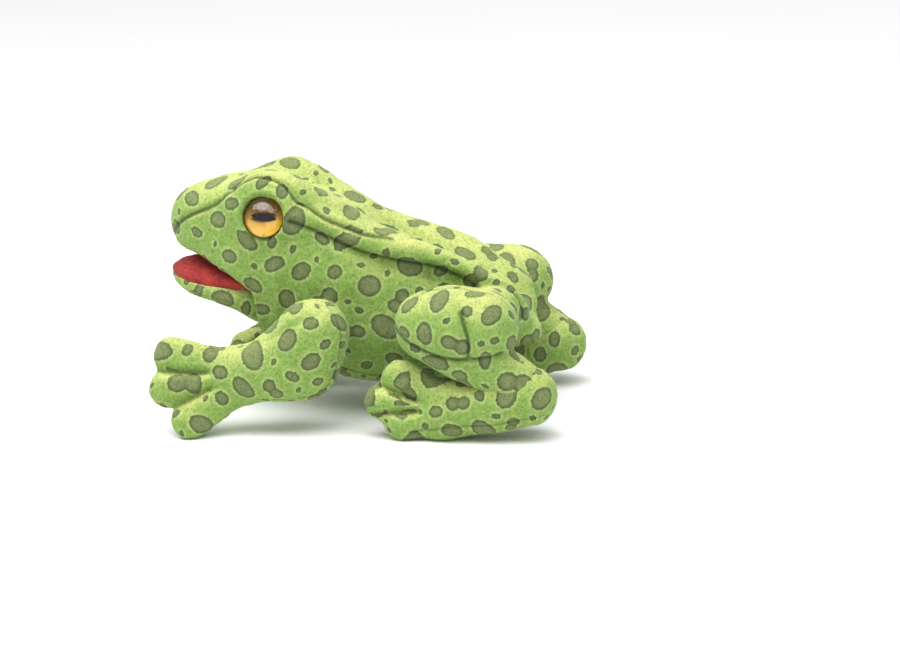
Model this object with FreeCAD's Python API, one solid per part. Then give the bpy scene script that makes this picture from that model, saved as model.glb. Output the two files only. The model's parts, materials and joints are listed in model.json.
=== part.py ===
"""Frog finger puppet: a soft toy worn on one finger, sitting on its four feet.

The front of the frog is -Y, its left side is +X and up is +Z. The origin is on the floor, under the
middle of the puppet. All sizes are millimetres.

The puppet is modelled the way it is sewn: cloth panels around a stuffed filling, for the trunk, the head,
the jaw, two arms, two hands, two hind legs and two feet. Where the real cloth flexes, the two sides stand
a fixed gap apart: the neck and the wrists are rounded knuckles in hollow sockets, each foot folds up under
its shin, and the arms and hind legs hang beside the trunk on stitched tacks.

Each sewn body is a function of one number, how deep below the outside of the cloth its surface lies.
"""
import FreeCAD
import Part
import math
import os
from FreeCAD import Vector

os.makedirs("parts", exist_ok=True)

# ---- cloth and clearances ----
CLOTH = 1.1                    # thickness of the plush cloth, pile included
SLACK = 0.06                   # between a filling and the cloth around it
GAP = 0.5                      # between two bodies that move against each other
FAR = 200.0                    # longer than the puppet
SMALL = 0.02                   # clearance of pieces that are sewn or pressed together

# ---- trunk: y, centre height, half height and half width of each section, front to back ----
TRUNK_HALF_WIDTH = 21.0
TRUNK = [
    (-27, 33.0, 10.0, 11.0),
    (-20, 40.0, 25.5, 17.5),
    (-9, 39.0, 28.5, 20.3),
    (3, 35.6, 26.0, TRUNK_HALF_WIDTH),
    (15, 33.3, 23.3, TRUNK_HALF_WIDTH),
    (30, 31.5, 19.5, 19.5),
    (43, 29.5, 12.8, 15.5),
    (52, 27.8, 7.6, 10.0),
    (57, 27.0, 3.0, 4.0),
]
TOP_SQUARENESS = 2.8           # 2 is an ellipse, more is squarer
BOTTOM_SQUARENESS = 2.1
NECK = Vector(0, -22, 50)      # middle of the neck knuckle, on the nod axis
NECK_R = 25.5                  # radius of the neck knuckle about the nod axis
NECK_HALF_WIDTH = 19.5         # the knuckle is a roller this far to each side
NECK_ROUND = 10.5              # radius of its rounded edges
COLLAR_R = 21.0                # the trunk's collar ends this far from the nod axis
BACK_HALF_WIDTH = 14.0         # seams of the back panel, at the front and at the rump
RUMP_HALF_WIDTH = 6.0
BELLY_HALF_WIDTH = 12.0
PANEL_SPLIT = 28.5             # height between the belly panel and the back panel at the rump
RIDGE_R = 5.0                  # padded ridge along each side of the back
RIDGE = [
    Vector(9.5, 8, 58.7),
    Vector(9.3, 16, 55.2),
    Vector(9.0, 24, 52.0),
    Vector(8.4, 33, 47.4),
    Vector(7.2, 42, 41.6),
    Vector(5.6, 48.5, 35.0),
]

# ---- finger sleeve ----
MOUTH = Vector(0, 44, 19)      # middle of the sleeve's opening, under the rump
SLEEVE_CLIMB = 36.0            # the sleeve climbs this steeply towards the head, degrees
SLEEVE_R = 9.5                 # inside radius, for an adult's fingertip
SLEEVE_WALL = 0.8
SLEEVE_LENGTH = 37.0           # straight part, from the opening to the closed round end
HEM_WIDTH = 2.2
HEM_LENGTH = 3.0

# ---- head, in the same kind of sections ----
HEAD = [
    (-68.3, 65.0, 4.6, 3.6),
    (-65, 64.0, 10.4, 8.2),
    (-56, 61.5, 16.8, 14.0),
    (-46, 58.5, 22.2, 18.2),
    (-37, 57.0, 24.6, 20.2),
    (-29, 56.0, 24.4, TRUNK_HALF_WIDTH),
    (-20, 53.0, 17.0, 17.0),
]
THROAT_FRONT = -41.0           # the knuckle's lower front is cut off here
CROWN_HALF_WIDTH = 11.0        # seams of the panel on top of the head
THROAT_HALF_WIDTH = 9.0
THROAT_TOP = 36.0
LIP_CORNER = Vector(0, -37, 44.5)
ROOF_CLIMB = 26.0              # the roof of the mouth climbs forwards this steeply, degrees

# ---- jaw ----
JAW_HINGE = Vector(0, -38.5, 38.8)
JAW_R = 4.9                    # half the jaw's thickness, and its knuckle's radius
JAW_HALF_WIDTH = 17.3
JAW = [
    (-68.3, 44.6, 1.6, 3.6),
    (-65, 44.0, 3.5, 8.6),
    (-58, 42.6, 4.6, 13.2),
    (-50, 41.0, 4.8, 15.8),
    (-42, 39.5, 4.9, 17.1),
    (-38.5, 38.8, JAW_R, JAW_HALF_WIDTH),
]
JAW_ROOM_R = 6.3               # hollow in the head that the jaw's knuckle turns in

# ---- eyes, left one ----
EYE = Vector(19.6, -30.3, 69.4)     # middle of the iris's back face
EYE_TILT = 16.0                     # the eye looks up this far, degrees
IRIS_R = 6.8
IRIS_THICKNESS = 0.6
DOME_HEIGHT = 4.4
PUPIL_LENGTH = 8.6
PUPIL_HEIGHT = 2.9
PUPIL_THICKNESS = 0.3
PUPIL_TURN = 8.0
POST_R = 2.0
POST_LENGTH = 9.0
WASHER_R = 6.0
WASHER_THICKNESS = 1.0
WASHER_DEPTH = 5.0                  # from the iris's back to the washer
BROW = Vector(12.5, -31, 70.5)      # middle of the padded mound that carries the eye
BROW_R = 11.0
BROW_RIDGE = [Vector(13.0, -24, 74.2), Vector(12.2, -12.5, 69.8)]
BROW_RIDGE_R = 3.8

# ---- arms and hands, left one ----
SHOULDER = Vector(32, -10.5, 33.5)
ELBOW = Vector(32, -11.5, 22.6)
WRIST = Vector(34, -37, 19.5)
ARM_R = 10.0
WRIST_R = 8.6
WRIST_SETBACK = 2.2            # the arm's rim stays this far behind the middle of the wrist
PALM_R = 6.6
TOE_R = 5.3
WEB = 6.0                      # thickness of the web between two toes
WEB_REACH = 0.84               # of the toes' length
LEFT_HAND = [Vector(2, -22.5, 6.5), Vector(4, -23.5, -4.0), Vector(7.5, -15.5, -14.2)]
RIGHT_HAND = [Vector(7, -17, -6.5), Vector(17, -13, -10.5), Vector(21, -2, -14.2)]

# ---- hind legs and feet, left one ----
HIP = Vector(34.6, 43.5, 37.0)
HIP_R = 12.6
KNEE = Vector(32.8, 26.4, 37.6)
KNEE_R = 10.5
SHIN = Vector(34.0, 47.0, 22.5)
SHIN_R = 8.8
HEEL = Vector(33.5, 58.7, 14.5)
HEEL_R = 9.6
INSTEP = Vector(34.5, 33.0, 9.0)
INSTEP_R = 8.8
FOOT_TOES = [Vector(34, 17.0, 19.6), Vector(35.5, 10.9, 12.2), Vector(36.7, 18.0, 5.3)]
FOOT_LIFT = 6.0                # the foot can fold up towards the shin this far, degrees

# stitched patches that hold an arm or a leg: radius at the flank, radius at the limb
SHOULDER_TACK = (4.5, 4.0)
HIP_TACK = (9.0, 6.0)
TACK_END = 21.7                # their outer end, measured from the middle of the puppet


# ---- helpers ----
def save(name, shape):
    """Writes one named node, which has to be made of valid closed solids."""
    solids = [s for s in shape.Solids if s.Volume > 0.5]
    assert solids, name + " is empty"
    assert all(s.isValid() for s in solids), name + " is not valid"
    whole = solids[0] if len(solids) == 1 else Part.makeCompound(solids)
    whole.exportStep("parts/%s.step" % name)


def mirrored(thing):
    """The same shape, or the same point, on the puppet's other side."""
    if isinstance(thing, Vector):
        return Vector(-thing.x, thing.y, thing.z)
    return thing.mirror(Vector(0, 0, 0), Vector(1, 0, 0))


def ball(centre, radius):
    return Part.makeSphere(radius, centre)


def bar(start, end, r_start, r_end=None):
    """A round bar from start to end, tapered if it has two radii."""
    along = end - start
    if r_end is None or abs(r_end - r_start) < 1e-6:
        return Part.makeCylinder(r_start, along.Length, start, along)
    return Part.makeCone(r_start, r_end, along.Length, start, along)


def turned(outline, start, along):
    """Edges from axis to axis in the XZ plane, turned about Z, then moved to start and pointed along."""
    points = [v.Point for edge in outline for v in edge.Vertexes if abs(v.Point.x) < 1e-6]
    face = Part.Face(Part.Wire(Part.sortEdges(outline + [Part.makeLine(points[0], points[1])])[0]))
    solid = face.revolve(Vector(0, 0, 0), Vector(0, 0, 1), 360)
    solid.Placement = FreeCAD.Placement(start, FreeCAD.Rotation(Vector(0, 0, 1), along))
    return solid


def limb(start, r_start, end, r_end):
    """Two balls and the cone that touches both, as one solid."""
    along = end - start
    length = along.Length
    lean = math.asin((r_start - r_end) / length)

    def on_ball(z, radius, angle):
        return Vector(radius * math.cos(angle), 0, z + radius * math.sin(angle))

    low = on_ball(0, r_start, -math.pi / 2)
    low_side = on_ball(0, r_start, (lean - math.pi / 2) / 2)
    low_touch = on_ball(0, r_start, lean)
    high_touch = on_ball(length, r_end, lean)
    high_side = on_ball(length, r_end, (lean + math.pi / 2) / 2)
    high = on_ball(length, r_end, math.pi / 2)
    outline = [
        Part.Arc(low, low_side, low_touch).toShape(),
        Part.makeLine(low_touch, high_touch),
        Part.Arc(high_touch, high_side, high).toShape(),
    ]
    return turned(outline, start, along)


def half_space(point, normal):
    """A box that fills the side of a plane that the plane's normal points to."""
    box = Part.makeBox(2 * FAR, 2 * FAR, FAR, Vector(-FAR, -FAR, 0))
    box.Placement = FreeCAD.Placement(point, FreeCAD.Rotation(Vector(0, 0, 1), normal))
    return box


def prism(outline, across=FAR):
    """A closed outline of (y, z) points, run across the puppet."""
    points = [Vector(-across, y, z) for y, z in outline]
    return Part.Face(Part.makePolygon(points + points[:1])).extrude(Vector(2 * across, 0, 0))


def wedge(half_front, half_rear, y_front, y_rear, z_low, z_high):
    """A block about the middle plane whose width runs from one value to another."""
    corners = [(-half_front, y_front), (half_front, y_front), (half_rear, y_rear), (-half_rear, y_rear)]
    points = [Vector(x, y, z_low) for x, y in corners]
    return Part.Face(Part.makePolygon(points + points[:1])).extrude(Vector(0, 0, z_high - z_low))


def power(value, exponent):
    """A power that keeps the sign."""
    return math.copysign(abs(value) ** exponent, value)


def oval(y, z_mid, half_height, half_width):
    """One smooth section across Y, squarer on top than underneath."""
    steps = 20
    points = []
    for i in range(steps):
        turn = 2 * math.pi * i / steps
        bend = 2 / (TOP_SQUARENESS if math.sin(turn) > 0 else BOTTOM_SQUARENESS)
        x = half_width * power(math.cos(turn), bend)
        z = z_mid + half_height * power(math.sin(turn), bend)
        points.append(Vector(x, y, z))
    curve = Part.BSplineCurve()
    curve.interpolate(points, PeriodicFlag=True)
    return Part.Wire(curve.toShape())


def ovals(sections, depth):
    """The smooth solid through the sections, this deep below its outside."""
    wires = []
    for i, (y, z_mid, half_height, half_width) in enumerate(sections):
        if i == 0:
            y += depth
        if i == len(sections) - 1:
            y -= depth
        wires.append(oval(y, z_mid, max(half_height - depth, 0.5), max(half_width - depth, 0.5)))
    return Part.makeLoft(wires, True)


def knuckle(depth):
    """The neck's knuckle: a roller about the nod axis with rounded edges."""
    width = NECK_HALF_WIDTH - depth
    radius = NECK_R - depth
    flat_x = NECK_HALF_WIDTH - NECK_ROUND
    flat_r = NECK_R - NECK_ROUND
    half = (NECK_ROUND - depth) * math.sqrt(0.5)

    def edge(side):
        middle = Vector(flat_r + half, 0, side * (flat_x + half))
        return Part.Arc(Vector(flat_r, 0, side * width), middle, Vector(radius, 0, side * flat_x)).toShape()

    outline = [
        Part.makeLine(Vector(0, 0, -width), Vector(flat_r, 0, -width)),
        edge(-1),
        Part.makeLine(Vector(radius, 0, -flat_x), Vector(radius, 0, flat_x)),
        edge(1),
        Part.makeLine(Vector(flat_r, 0, width), Vector(0, 0, width)),
    ]
    return turned(outline, NECK, Vector(1, 0, 0))


def without(shape, tool):
    """The shape minus the tool, which has to take something away."""
    rest = shape.cut(tool)
    assert 0 < rest.Volume < shape.Volume - 1
    return rest


def cloth_of(body):
    return without(body(0), body(CLOTH))


def filling_of(body):
    return body(CLOTH + SLACK)


# ---- trunk and finger sleeve ----
INWARD = Vector(0, -math.cos(math.radians(SLEEVE_CLIMB)), math.sin(math.radians(SLEEVE_CLIMB)))
SLEEVE_END = MOUTH + INWARD * SLEEVE_LENGTH
SLEEVE_OUTER_R = SLEEVE_R + SLEEVE_WALL
HEM_R = SLEEVE_OUTER_R + HEM_WIDTH


def trunk(depth):
    side = Vector(FAR, 0, 0)
    collar = bar(NECK - side, NECK + side, COLLAR_R + depth)
    return without(ovals(TRUNK, depth), knuckle(-GAP - depth)).cut(collar)


def sleeve_room():
    """The space that the sleeve, its hem and an arriving finger take out of the trunk."""
    tube = bar(MOUTH, SLEEVE_END, SLEEVE_OUTER_R + SMALL)
    way_in = bar(MOUTH - INWARD * (2 * HEM_R), MOUTH + INWARD * (HEM_LENGTH + SMALL), HEM_R + SMALL)
    return tube.fuse([ball(SLEEVE_END, SLEEVE_OUTER_R + SMALL), way_in])


def make_trunk():
    room = sleeve_room()
    cloth = cloth_of(trunk).cut(room)
    front = TRUNK[0][0] - 5
    rear = TRUNK[-1][0] + 5
    upper = wedge(BACK_HALF_WIDTH, RUMP_HALF_WIDTH, front, rear, PANEL_SPLIT, FAR)
    lower = wedge(BELLY_HALF_WIDTH, BELLY_HALF_WIDTH, front, rear, -FAR, PANEL_SPLIT)
    sides = without(without(cloth, upper), lower)
    left = half_space(Vector(0, 0, 0), Vector(1, 0, 0))
    save("back_panel", cloth.common(upper))
    save("belly_panel", cloth.common(lower))
    save("left_flank_panel", sides.common(left))
    save("right_flank_panel", mirrored(sides.common(left)))
    save("trunk_stuffing", filling_of(trunk).cut(room))


def back_ridge():
    """The left padded ridge, which lies on the seam of the back panel."""
    ridge = ball(RIDGE[0], RIDGE_R)
    for start, end in zip(RIDGE, RIDGE[1:]):
        ridge = ridge.fuse(bar(start, end, RIDGE_R)).fuse(ball(end, RIDGE_R))
    return ridge.cut(ovals(TRUNK, 0))


def make_ridges():
    ridge = back_ridge()
    save("left_back_ridge", ridge)
    save("right_back_ridge", mirrored(ridge))


def make_sleeve():
    tube = bar(MOUTH, SLEEVE_END, SLEEVE_OUTER_R).fuse(ball(SLEEVE_END, SLEEVE_OUTER_R))
    hollow = bar(MOUTH - INWARD, SLEEVE_END, SLEEVE_R).fuse(ball(SLEEVE_END, SLEEVE_R))
    save("finger_sleeve", tube.cut(hollow))
    ring = bar(MOUTH, MOUTH + INWARD * HEM_LENGTH, HEM_R)
    hole = bar(MOUTH - INWARD, MOUTH + INWARD * (HEM_LENGTH + 1), SLEEVE_OUTER_R + SMALL)
    save("sleeve_hem", ring.cut(hole))


def make_tacks():
    outside = ovals(TRUNK, 0)
    ridge = back_ridge()
    for name, place, radii in (("shoulder", SHOULDER, SHOULDER_TACK), ("hip", HIP, HIP_TACK)):
        inner_end = Vector(TRUNK_HALF_WIDTH / 2, place.y, place.z)
        tack = bar(inner_end, Vector(TACK_END, place.y, place.z), *radii)
        tack = tack.cut(outside).cut(knuckle(-GAP)).cut(ridge)
        save("left_%s_tack" % name, tack)
        save("right_%s_tack" % name, mirrored(tack))


# ---- head ----
def mouth_gap(depth):
    """The space under the roof of the mouth, in front of the lip's corner."""
    climb = math.tan(math.radians(ROOF_CLIMB))
    lift = depth / math.cos(math.radians(ROOF_CLIMB))
    front = HEAD[0][0] - 10
    corner_z = LIP_CORNER.z + lift
    return prism([
        (LIP_CORNER.y, corner_z),
        (front, corner_z + climb * (LIP_CORNER.y - front)),
        (front, 0),
        (THROAT_FRONT, 0),
        (THROAT_FRONT, corner_z),
    ])


def head(depth):
    throat = half_space(Vector(0, THROAT_FRONT + depth, 0), Vector(0, 1, 0))
    whole = ovals(HEAD, depth).fuse(knuckle(depth).common(throat))
    side = Vector(FAR, 0, 0)
    room = bar(JAW_HINGE - side, JAW_HINGE + side, JAW_ROOM_R + depth)
    return without(without(whole, mouth_gap(depth)), room)


def eye_frame():
    """The eye's middle and the way it looks."""
    tilt = math.radians(EYE_TILT)
    return EYE, Vector(math.cos(tilt), 0, math.sin(tilt))


def make_eye():
    """The left eye's pieces, its brow mound, and the room that its post takes in the head."""
    middle, out = eye_frame()
    front = middle + out * IRIS_THICKNESS
    iris = bar(middle, front, IRIS_R)
    sphere_r = (IRIS_R ** 2 + DOME_HEIGHT ** 2) / (2 * DOME_HEIGHT)
    dome = ball(front + out * (DOME_HEIGHT - sphere_r), sphere_r).common(half_space(front, out))
    arc_r = (PUPIL_LENGTH ** 2 + PUPIL_HEIGHT ** 2) / (4 * PUPIL_HEIGHT)
    turn = math.radians(PUPIL_TURN)
    along = Vector(0, math.cos(turn), 0) + out.cross(Vector(0, 1, 0)) * math.sin(turn)
    across = out.cross(along)
    shift = across * (arc_r - PUPIL_HEIGHT / 2)
    back = front + out * PUPIL_THICKNESS
    pupil = bar(front + shift, back + shift, arc_r).common(bar(front - shift, back - shift, arc_r))
    post = bar(middle - out * POST_LENGTH, middle, POST_R)
    washer_back = middle - out * (WASHER_DEPTH + WASHER_THICKNESS)
    washer = bar(washer_back, middle - out * WASHER_DEPTH, WASHER_R)
    brow = ball(BROW, BROW_R).cut(half_space(middle, out))
    brow = brow.fuse(limb(BROW_RIDGE[0], BROW_RIDGE_R, BROW_RIDGE[1], BROW_RIDGE_R)).cut(head(0))
    pieces = {
        "eye_dome": dome.cut(pupil),
        "eye_pupil": pupil,
        "eye_iris": iris,
        "eye_post": post,
        "eye_washer": washer.cut(post),
        "brow_mound": brow.cut(bar(middle - out * POST_LENGTH, middle, POST_R + SMALL)),
    }
    post_room = bar(middle - out * (POST_LENGTH + SMALL), middle, POST_R + SMALL)
    washer_room = bar(washer_back - out * SMALL, middle - out * (WASHER_DEPTH - SMALL), WASHER_R + SMALL)
    return pieces, post_room.fuse(washer_room)


def make_head():
    eye_pieces, eye_room = make_eye()
    rooms = [eye_room, mirrored(eye_room)]
    cloth = cloth_of(head).cut(rooms)
    roof = mouth_gap(CLOTH)
    crown = wedge(CROWN_HALF_WIDTH, CROWN_HALF_WIDTH, HEAD[0][0] - 5, 10, HEAD[1][1], FAR)
    throat = wedge(THROAT_HALF_WIDTH, THROAT_HALF_WIDTH, THROAT_FRONT - 5, 10, 0, THROAT_TOP)
    skin = cloth.cut(roof)
    left = half_space(Vector(0, 0, 0), Vector(1, 0, 0))
    cheeks = without(without(skin, crown), throat)
    save("mouth_roof", cloth.common(roof))
    save("crown_panel", skin.common(crown))
    save("throat_panel", skin.common(throat))
    save("left_cheek_panel", cheeks.common(left))
    save("right_cheek_panel", mirrored(cheeks.common(left)))
    save("head_stuffing", filling_of(head).cut(rooms))
    for name, piece in eye_pieces.items():
        save("left_" + name, piece)
        save("right_" + name, mirrored(piece))


# ---- jaw ----
def jaw(depth):
    side = Vector(JAW_HALF_WIDTH - depth, 0, 0)
    rear = bar(JAW_HINGE - side, JAW_HINGE + side, JAW_R - depth)
    return ovals(JAW, depth).fuse(rear)


def make_jaw():
    cloth = cloth_of(jaw)
    tip = Vector(0, JAW[0][0], JAW[0][1])
    along = tip - JAW_HINGE
    above = half_space(JAW_HINGE, Vector(0, along.z, -along.y))
    save("mouth_floor", cloth.common(above))
    save("chin_panel", cloth.cut(above))
    save("jaw_stuffing", filling_of(jaw))


# ---- arms and hands ----
def arm(depth):
    forwards = WRIST - ELBOW
    forwards.normalize()
    whole = limb(SHOULDER, ARM_R - depth, ELBOW, ARM_R - depth).fuse(
        limb(ELBOW, ARM_R - depth, WRIST, WRIST_R - depth)
    )
    rim = half_space(WRIST - forwards * (WRIST_SETBACK + depth), forwards)
    return whole.cut([rim, ball(WRIST, WRIST_R + GAP + depth)])


def webs(root, tips, depth):
    """Flat webs from the root to each pair of neighbouring toe tips."""
    pieces = []
    for a, b in zip(tips, tips[1:]):
        corners = [root, root + (a - root) * WEB_REACH, root + (b - root) * WEB_REACH]
        across = (a - root).cross(b - root)
        across.normalize()
        face = Part.Face(Part.makePolygon([c - across * (WEB / 2 - depth) for c in corners + corners[:1]]))
        pieces.append(face.extrude(across * (WEB - 2 * depth)))
    return pieces


def hand(wrist, elbow, toes, depth):
    """A ball in the wrist, three toes in front of it and the webs between them."""
    forwards = wrist - elbow
    forwards.normalize()
    tips = [wrist + toe for toe in toes]
    fan = limb(wrist + toes[1] * 0.1, PALM_R - depth, tips[1], TOE_R - depth)
    for toe in (toes[0], toes[2]):
        fan = fan.fuse(limb(wrist + toe * 0.1, PALM_R - depth, wrist + toe, TOE_R - depth))
    for web in webs(wrist, tips, depth):
        fan = fan.fuse(web)
    fan = fan.common(half_space(wrist + forwards * depth, forwards))
    return ball(wrist, WRIST_R - depth).fuse(fan)


def save_pair(name, body, seam_point, seam_normal, first, second):
    """A sewn body: two cloth halves that meet at a seam, and the filling between them."""
    cloth = cloth_of(body)
    side = half_space(seam_point, seam_normal)
    save("%s_%s" % (name, first), cloth.common(side))
    save("%s_%s" % (name, second), cloth.cut(side))
    save(name + "_stuffing", filling_of(body))


def make_arms():
    for name, turn in (("left_arm", lambda thing: thing), ("right_arm", mirrored)):
        sideways = turn(Vector(1, 0, 0))
        save_pair(name, lambda depth: turn(arm(depth)), turn(SHOULDER), sideways, "outer", "inner")


def make_hands():
    sides = (
        ("left_hand", WRIST, ELBOW, LEFT_HAND, LEFT_HAND[0].cross(LEFT_HAND[2])),
        ("right_hand", mirrored(WRIST), mirrored(ELBOW), RIGHT_HAND, RIGHT_HAND[2].cross(RIGHT_HAND[0])),
    )
    for name, wrist, elbow, toes, outwards in sides:
        save_pair(name, lambda depth: hand(wrist, elbow, toes, depth), wrist, outwards, "back", "palm")


# ---- hind legs and feet ----
def foot(depth):
    """The foot's long sole, three toes and the webs between them."""
    whole = limb(HEEL, HEEL_R - depth, INSTEP, INSTEP_R - depth)
    for toe in FOOT_TOES:
        whole = whole.fuse(limb(INSTEP + (toe - INSTEP) * 0.1, INSTEP_R - 1.5 - depth, toe, TOE_R - depth))
    for web in webs(INSTEP, FOOT_TOES, depth):
        whole = whole.fuse(web)
    return whole


def foot_room(depth):
    """The space that the heel and the instep sweep as the foot folds up, this far from them."""
    rise = 2 * (HEEL - INSTEP).Length * math.sin(math.radians(FOOT_LIFT / 2))
    return limb(HEEL, HEEL_R + depth, INSTEP, INSTEP_R + rise + depth)


def leg(depth):
    thigh = limb(HIP, HIP_R - depth, KNEE, KNEE_R - depth)
    shin = limb(KNEE, KNEE_R - 0.5 - depth, SHIN, SHIN_R - depth)
    return thigh.fuse(shin).cut(foot_room(GAP + depth))


def make_hind_legs():
    for name, turn in (("left", lambda thing: thing), ("right", mirrored)):
        sideways = turn(Vector(1, 0, 0))
        save_pair(name + "_leg", lambda depth: turn(leg(depth)), turn(HIP), sideways, "outer", "inner")
        save_pair(name + "_foot", lambda depth: turn(foot(depth)), turn(INSTEP), sideways, "top", "sole")


make_trunk()
make_ridges()
make_sleeve()
make_tacks()
make_head()
make_jaw()
make_arms()
make_hands()
make_hind_legs()
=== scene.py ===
"""Looks of the frog finger puppet: plush skins, mouth, eyes and finger sleeve around the CAD frame.

Lengths are millimetres in the puppet's own frame (front -Y, left +X, up +Z) until a mesh is made.
Each skin is a field of signed distances on a grid, negative inside, that is joined, cut, creased and meshed.
"""
import json
import math
import bpy
import numpy as np
import openvdb
from mathutils import Matrix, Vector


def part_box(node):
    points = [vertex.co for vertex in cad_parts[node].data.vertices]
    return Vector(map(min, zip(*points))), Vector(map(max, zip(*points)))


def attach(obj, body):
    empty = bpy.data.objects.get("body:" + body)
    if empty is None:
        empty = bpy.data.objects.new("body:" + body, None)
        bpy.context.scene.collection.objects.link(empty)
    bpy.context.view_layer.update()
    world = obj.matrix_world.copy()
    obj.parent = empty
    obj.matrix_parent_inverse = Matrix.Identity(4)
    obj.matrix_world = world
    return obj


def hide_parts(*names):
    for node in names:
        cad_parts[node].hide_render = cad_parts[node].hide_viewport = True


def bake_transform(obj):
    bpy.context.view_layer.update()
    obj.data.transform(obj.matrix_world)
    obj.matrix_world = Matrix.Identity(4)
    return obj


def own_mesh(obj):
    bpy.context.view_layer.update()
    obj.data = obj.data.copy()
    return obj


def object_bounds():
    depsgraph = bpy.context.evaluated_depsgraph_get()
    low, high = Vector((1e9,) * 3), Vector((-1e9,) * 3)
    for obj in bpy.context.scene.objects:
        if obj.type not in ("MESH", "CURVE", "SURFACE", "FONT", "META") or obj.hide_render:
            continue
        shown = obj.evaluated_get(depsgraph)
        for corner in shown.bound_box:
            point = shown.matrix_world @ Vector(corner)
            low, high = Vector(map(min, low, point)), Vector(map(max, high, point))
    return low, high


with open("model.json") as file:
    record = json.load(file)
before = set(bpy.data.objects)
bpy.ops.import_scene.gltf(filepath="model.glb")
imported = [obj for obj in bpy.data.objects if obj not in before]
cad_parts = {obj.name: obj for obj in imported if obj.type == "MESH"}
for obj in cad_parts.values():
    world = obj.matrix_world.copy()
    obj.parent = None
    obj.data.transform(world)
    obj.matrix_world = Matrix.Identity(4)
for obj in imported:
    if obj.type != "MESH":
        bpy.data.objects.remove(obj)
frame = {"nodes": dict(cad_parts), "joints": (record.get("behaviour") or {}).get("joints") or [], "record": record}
CAD_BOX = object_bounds()
MM = 0.001
GRID = 0.5
PIVOT = {j["name"]: np.array(j["pos_m"]) / MM for j in frame["joints"]}
NODES = frame["nodes"]


def node_box(name):
    low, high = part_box(name)
    return np.array(low) / MM, np.array(high) / MM


def V(*numbers):
    return np.array(numbers, float)


# ---------------------------------------------------------------- fields
def smin(a, b, k):
    h = np.maximum(k - np.abs(a - b), 0) / k
    return np.minimum(a, b) - h * h * (k / 4)


def smax(a, b, k):
    return -smin(-a, -b, k)


def curve(points, parts=4):
    """Points along a smooth curve through the given ones (any number of columns)."""
    p = np.array(points, float)
    p = np.vstack([2 * p[0] - p[1], p, 2 * p[-1] - p[-2]])
    out = []
    for i in range(1, len(p) - 2):
        for t in np.arange(parts) / parts:
            a, b, c, d = p[i - 1:i + 3]
            out.append(0.5 * (2 * b + (c - a) * t + (2 * a - 5 * b + 4 * c - d) * t * t
                              + (3 * b - a - 3 * c + d) * t ** 3))
    return np.array(out + [p[-2]])


def mirror(points):
    """The same points on the other side of the puppet."""
    p = np.array(points, float)
    p[..., 0] *= -1
    return p


def line_distance(x, y, z, a, b):
    """How far along a-b the nearest point lies, 0 to 1, and the distance to it."""
    u = b - a
    t = np.clip(((x - a[0]) * u[0] + (y - a[1]) * u[1] + (z - a[2]) * u[2]) / (u @ u), 0, 1)
    r = np.sqrt((x - a[0] - t * u[0]) ** 2 + (y - a[1] - t * u[1]) ** 2 + (z - a[2] - t * u[2]) ** 2)
    return t, r


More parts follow.
